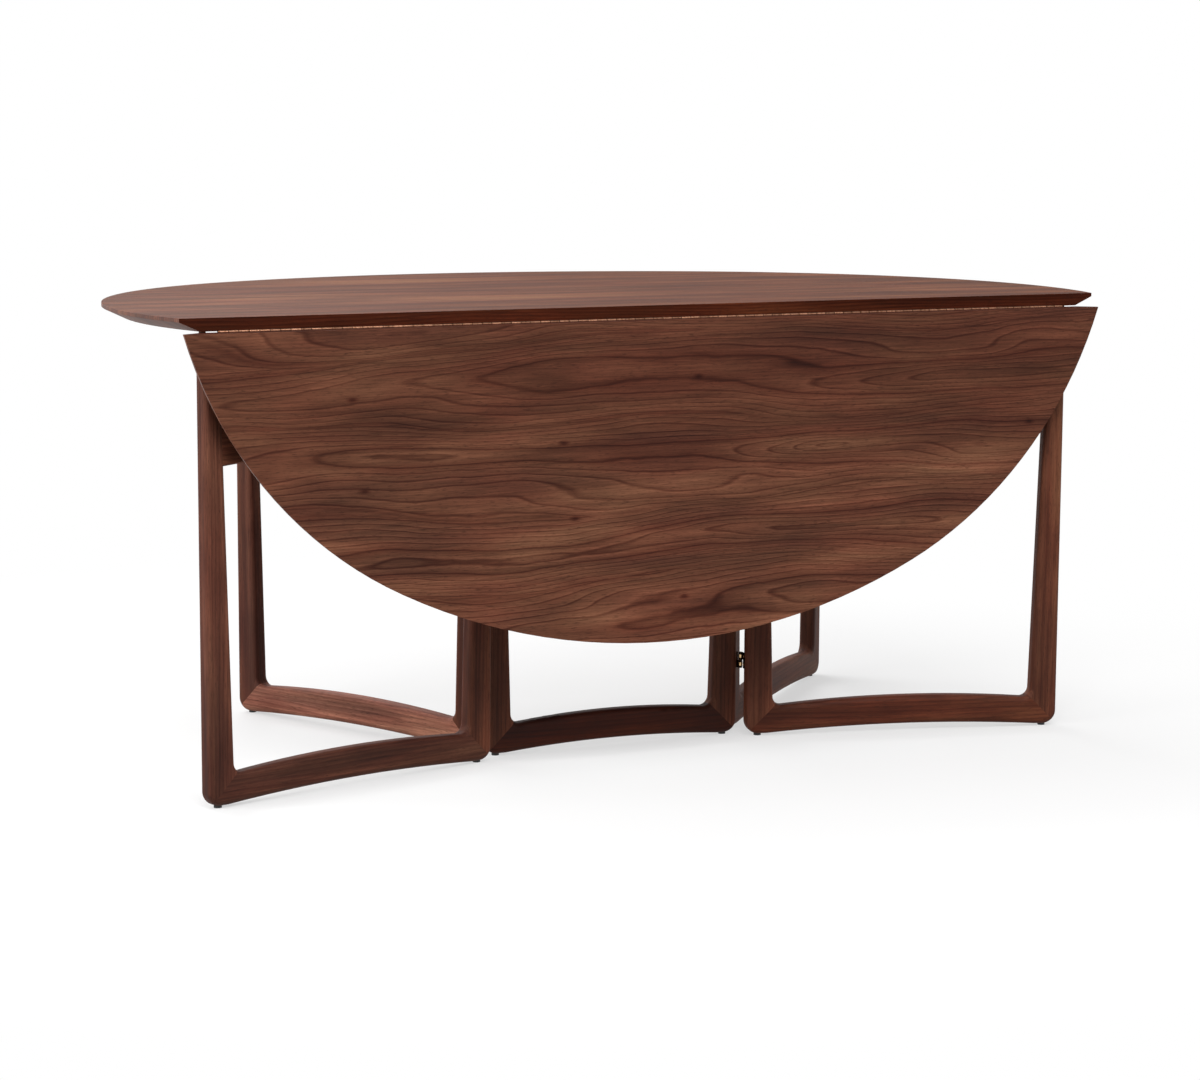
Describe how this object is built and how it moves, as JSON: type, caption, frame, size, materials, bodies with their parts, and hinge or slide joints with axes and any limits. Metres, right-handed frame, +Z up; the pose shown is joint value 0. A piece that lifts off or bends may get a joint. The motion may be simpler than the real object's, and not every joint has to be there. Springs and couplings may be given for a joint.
{
  "type": "drop-leaf dining table",
  "caption": "Oval drop-leaf dining table on a centre frame with swinging gate frames; the front leaf hangs and the rear leaf lies level.",
  "frame": {"origin": "on the floor, below the middle of the whole table's box as it stands, with the front leaf hanging and the rear leaf level", "axes": "+X along the table, +Y to the rear, where the level leaf is, and +Z up"},
  "size_m": [1.61, 0.9004, 0.72],
  "materials": {
    "walnut_top": "oiled dark walnut, grain along the table",
    "walnut_frame": "oiled dark walnut, grain along each member",
    "beech_tenon": "plain, glued",
    "brass_hinge": "polished brass, a little darkened",
    "hinge_pin": "drawn brass",
    "brass_screw": "polished brass",
    "steel_screw": "zinc-plated steel",
    "black_glide": "matt black plastic",
    "rest_pad": "dark slip pad"
  },
  "bodies": {
    "centre": {"centre_panel": "walnut_top", "centre_frame_top_rail": "walnut_frame", "centre_frame_left_leg": "walnut_frame", "centre_frame_right_leg": "walnut_frame", "centre_frame_bottom_rail": "walnut_frame", "centre_frame_tenons": "beech_tenon", "centre_frame_glides": "black_glide", "centre_frame_screws": "steel_screw", "gate_hinge_fixed_flaps": "brass_hinge", "gate_hinge_fixed_screws": "brass_screw", "gate_hinge_pins": "hinge_pin", "front_hinge_fixed_flap": "brass_hinge", "front_hinge_pin": "hinge_pin", "front_hinge_fixed_screws": "brass_screw", "rear_hinge_fixed_flap": "brass_hinge", "rear_hinge_pin": "hinge_pin", "rear_hinge_fixed_screws": "brass_screw"},
    "front_leaf": {"front_leaf_panel": "walnut_top", "front_hinge_leaf_flap": "brass_hinge", "front_hinge_leaf_screws": "brass_screw"},
    "rear_leaf": {"rear_leaf_panel": "walnut_top", "rear_hinge_leaf_flap": "brass_hinge", "rear_hinge_leaf_screws": "brass_screw"},
    "front_left_gate": {"front_left_gate_hinge_leg": "walnut_frame", "front_left_gate_outer_leg": "walnut_frame", "front_left_gate_bottom_rail": "walnut_frame", "front_left_gate_upper_rail": "walnut_frame", "front_left_gate_tenons": "beech_tenon", "front_left_gate_glides": "black_glide", "front_left_gate_rest_pad": "rest_pad", "front_left_gate_hinge_flaps": "brass_hinge", "front_left_gate_hinge_screws": "brass_screw"},
    "rear_left_gate": {"rear_left_gate_hinge_leg": "walnut_frame", "rear_left_gate_outer_leg": "walnut_frame", "rear_left_gate_bottom_rail": "walnut_frame", "rear_left_gate_upper_rail": "walnut_frame", "rear_left_gate_tenons": "beech_tenon", "rear_left_gate_glides": "black_glide", "rear_left_gate_rest_pad": "rest_pad", "rear_left_gate_hinge_flaps": "brass_hinge", "rear_left_gate_hinge_screws": "brass_screw"},
    "front_right_gate": {"front_right_gate_hinge_leg": "walnut_frame", "front_right_gate_outer_leg": "walnut_frame", "front_right_gate_bottom_rail": "walnut_frame", "front_right_gate_upper_rail": "walnut_frame", "front_right_gate_tenons": "beech_tenon", "front_right_gate_glides": "black_glide", "front_right_gate_rest_pad": "rest_pad", "front_right_gate_hinge_flaps": "brass_hinge", "front_right_gate_hinge_screws": "brass_screw"},
    "rear_right_gate": {"rear_right_gate_hinge_leg": "walnut_frame", "rear_right_gate_outer_leg": "walnut_frame", "rear_right_gate_bottom_rail": "walnut_frame", "rear_right_gate_upper_rail": "walnut_frame", "rear_right_gate_tenons": "beech_tenon", "rear_right_gate_glides": "black_glide", "rear_right_gate_rest_pad": "rest_pad", "rear_right_gate_hinge_flaps": "brass_hinge", "rear_right_gate_hinge_screws": "brass_screw"}
  },
  "joints": [
    {"name": "front_leaf_hinge", "type": "hinge", "parent": "centre", "child": "front_leaf", "pos_m": [0, -0.42973, 0.69955], "axis": [-1, 0, 0], "range_deg": [0, 94]},
    {"name": "rear_leaf_hinge", "type": "hinge", "parent": "centre", "child": "rear_leaf", "pos_m": [0, -0.04973, 0.69955], "axis": [1, 0, 0], "range_deg": [0, 2.5]},
    {"name": "front_left_gate_hinge", "type": "hinge", "parent": "centre", "child": "front_left_gate", "pos_m": [-0.229, -0.25373, 0.3], "axis": [0, 0, 1], "range_deg": [-15.6, 0]},
    {"name": "rear_left_gate_hinge", "type": "hinge", "parent": "centre", "child": "rear_left_gate", "pos_m": [-0.229, -0.22573, 0.3], "axis": [0, 0, -1], "range_deg": [-64.5, 25.5]},
    {"name": "front_right_gate_hinge", "type": "hinge", "parent": "centre", "child": "front_right_gate", "pos_m": [0.229, -0.25373, 0.3], "axis": [0, 0, -1], "range_deg": [-14.3, 0]},
    {"name": "rear_right_gate_hinge", "type": "hinge", "parent": "centre", "child": "rear_right_gate", "pos_m": [0.229, -0.22573, 0.3], "axis": [0, 0, 1], "range_deg": [-44.6, 45.4]}
  ]
}
